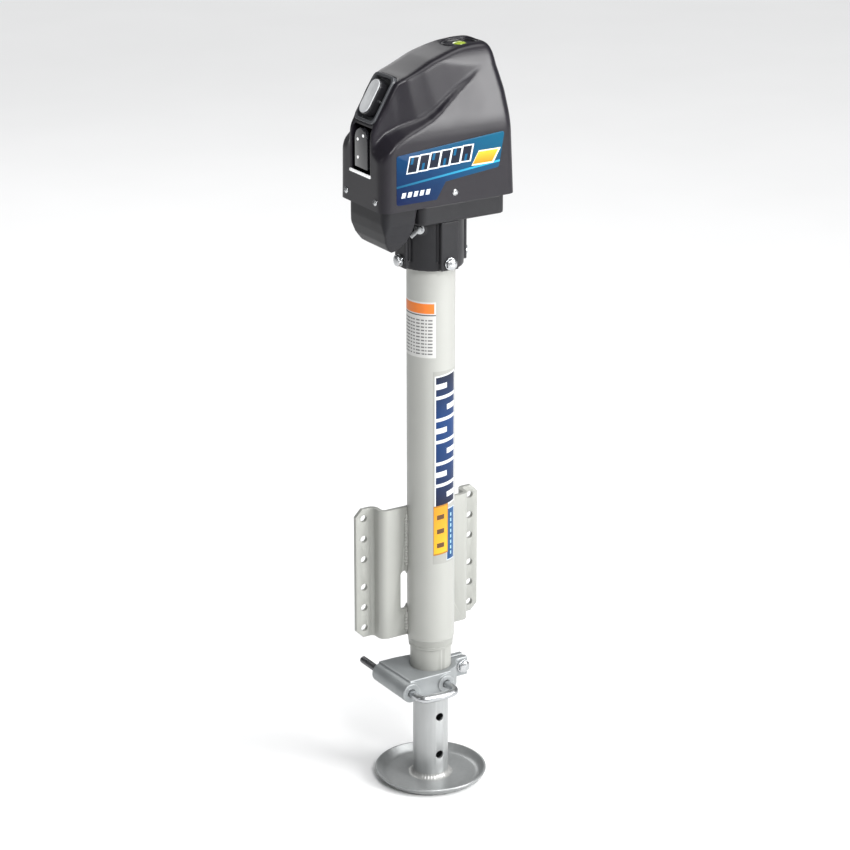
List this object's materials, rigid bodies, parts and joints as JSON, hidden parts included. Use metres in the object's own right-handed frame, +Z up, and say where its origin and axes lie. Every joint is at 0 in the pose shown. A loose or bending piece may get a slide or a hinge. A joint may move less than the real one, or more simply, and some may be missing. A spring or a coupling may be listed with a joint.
{
  "type": "powered trailer tongue jack",
  "caption": "Bolt-on powered trailer tongue jack with a switch head, a telescoping tube, a pinned drop leg and a round dished foot plate.",
  "frame": {"origin": "tube axis at the underside of the foot plate", "axes": "+Z up along the tube, +Y towards the trailer frame that the bracket bolts to, -X towards the switch side of the head"},
  "size_m": [0.182, 0.1465, 0.917],
  "materials": {
    "galvanised_leg": "bright zinc-plated steel, satin",
    "foot_steel": "zinc-plated pressed steel",
    "weld": "weld bead, plated over",
    "powder_silver": "silver-grey powder coat, fine texture",
    "cast_zinc": "bead-blasted casting",
    "zinc_fastener": "bright zinc plate",
    "zinc_rod": "bright plated round bar",
    "spring_steel": "oiled spring steel",
    "bronze": "machined bronze",
    "machined_steel": "machined, greased",
    "neck_black": "satin black casting",
    "base_black": "satin black casting",
    "housing_black": "satin black moulding",
    "cover_black": "satin black moulding, fine grain",
    "lid_metal": "milled plate",
    "motor_black": "gloss black can",
    "rubber_black": "matt rubber",
    "bezel_grey": "silver-grey edge on black moulding",
    "switch_black": "gloss black moulding",
    "cap_grey": "light grey moulding",
    "lens_smoke": "smoked clear plastic",
    "board_green": "circuit board lacquer",
    "led_white": "clear white lamp",
    "bar_white": "white light window",
    "vial_green": "tinted liquid under clear plastic",
    "decal_blue": "printed film, blue with a light stripe and an amber accent",
    "label_white": "printed film, white with an orange band and grey bars"
  },
  "bodies": {
    "jack_frame": {"outer_tube": "powder_silver", "end_ring": "powder_silver", "bracket_left": "powder_silver", "bracket_right": "powder_silver", "bracket_welds": "powder_silver", "neck_collar": "neck_black", "neck_bolts": "zinc_fastener", "thrust_bearing": "machined_steel", "gear_base": "base_black", "screw_bush": "bronze", "gear_lid": "lid_metal", "front_housing": "housing_black", "motor_plate": "lid_metal", "gearhead": "machined_steel", "motor": "motor_black", "ground_lug": "zinc_fastener", "wire_grommet": "rubber_black", "head_cover": "cover_black", "cover_screws": "zinc_fastener", "switch_bezel": "bezel_grey", "switch_body": "switch_black", "rocker_pin": "zinc_fastener", "light_lens": "lens_smoke", "light_board": "board_green", "light_leds": "led_white", "light_bar": "bar_white", "level_cup": "switch_black", "level_vial": "vial_green", "side_decal_left": "decal_blue", "side_decal_right": "decal_blue", "tube_label": "label_white", "tube_strip": "decal_blue"},
    "ram": {"ram_tube": "powder_silver", "lift_nut": "bronze", "leg_collar": "cast_zinc", "clamp_bolt": "zinc_fastener", "clamp_nut": "zinc_fastener", "pin_spring": "spring_steel"},
    "leg": {"foot_plate": "foot_steel", "foot_weld": "weld", "drop_leg": "galvanised_leg"},
    "pin": {"pull_pin": "zinc_rod", "pin_clip": "spring_steel"},
    "screw": {"lead_screw": "machined_steel", "main_gear": "machined_steel"},
    "pinion": {"drive_pinion": "machined_steel"},
    "rocker": {"rocker_button": "switch_black", "rocker_cap": "cap_grey"}
  },
  "joints": [
    {"name": "ram_slide", "type": "slide", "parent": "jack_frame", "child": "ram", "axis": [0, 0, -1], "range_m": [0, 0.3556]},
    {"name": "leg_slide", "type": "slide", "parent": "ram", "child": "leg", "axis": [0, 0, -1], "range_m": [0, 0.1016]},
    {"name": "pin_pull", "type": "slide", "parent": "ram", "child": "pin", "axis": [0, -1, 0], "range_m": [-0.012, 0.012], "stiffness_N_per_m": 300, "deforming": ["pin_spring"]},
    {"name": "rocker_tilt", "type": "hinge", "parent": "jack_frame", "child": "rocker", "pos_m": [-0.07329, 0, 0.86097], "axis": [0, 1, 0], "range_deg": [-6, 6], "stiffness_Nm_per_rad": 0.5},
    {"name": "screw_spin", "type": "hinge", "parent": "jack_frame", "child": "screw", "pos_m": [0, 0, 0.757], "axis": [0, 0, 1], "continuous": true},
    {"name": "pinion_spin", "type": "hinge", "parent": "jack_frame", "child": "pinion", "pos_m": [-0.04575, 0, 0.757], "axis": [0, 0, 1], "continuous": true}
  ],
  "couplings": [
    {"joint": "screw_spin", "follows": "ram_slide", "rad_per_m": 989.48},
    {"joint": "pinion_spin", "follows": "ram_slide", "rad_per_m": -3653.5}
  ]
}
